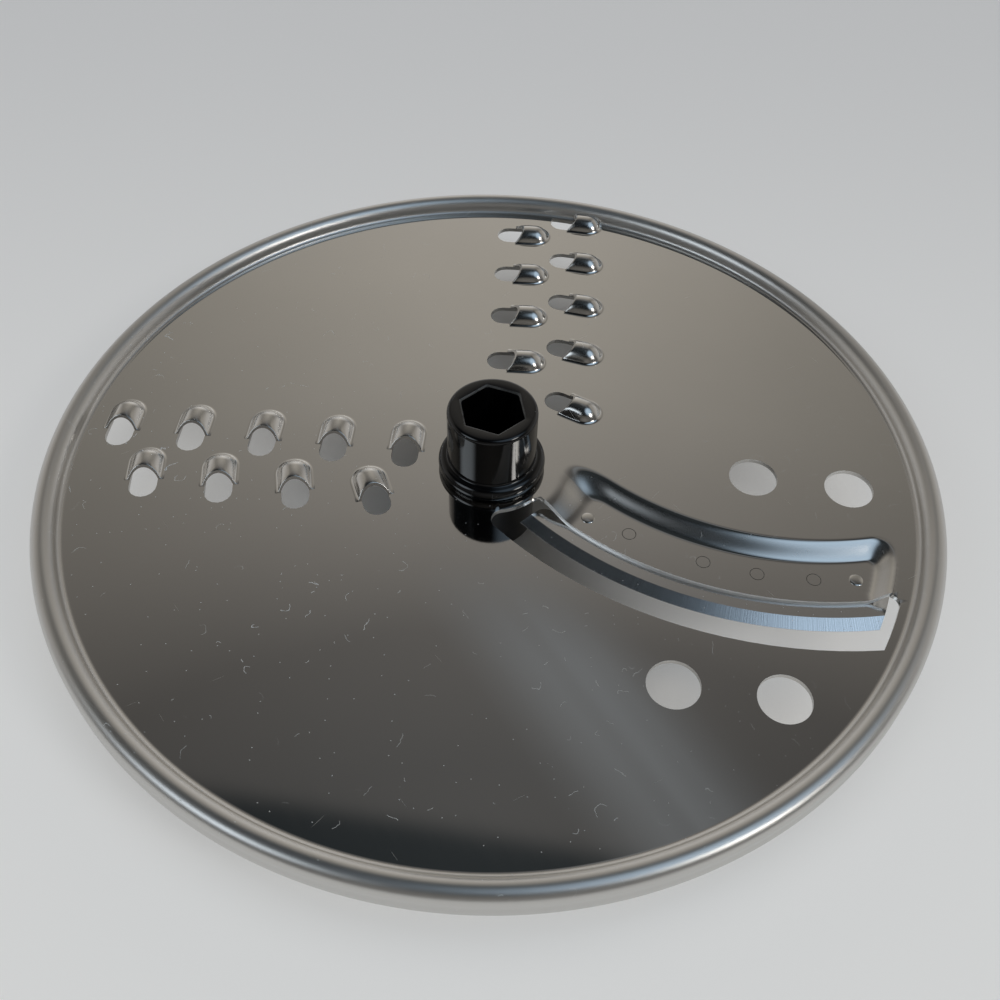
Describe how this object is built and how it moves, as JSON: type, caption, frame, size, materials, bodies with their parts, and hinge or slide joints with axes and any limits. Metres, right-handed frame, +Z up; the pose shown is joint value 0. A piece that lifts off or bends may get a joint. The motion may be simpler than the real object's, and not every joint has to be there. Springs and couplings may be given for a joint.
{
  "type": "food processor disc",
  "caption": "Round steel disc that slices on one face and shreds on the other, with a curved blade along a slot, rows of shredding hoods, a rolled rim and a black hub with a hexagonal drive socket",
  "frame": {"origin": "centre of the hub's lower end, on the table", "axes": "+Z up along the hub, shredding face up; the upper double row of hoods runs to +Y, the other to -X, and the slicing slot runs from the hub to +X and -Y"},
  "size_m": [0.1738, 0.1738, 0.0313],
  "materials": {
    "plate_steel": "polished, slightly hazy, with fine scratches",
    "blade_steel": "polished, with a cross-ground bevel",
    "hub_plastic": "glossy black"
  },
  "bodies": {
    "root": {"disc_plate": "plate_steel", "slicing_blade": "blade_steel", "hub": "hub_plastic"}
  },
  "joints": []
}
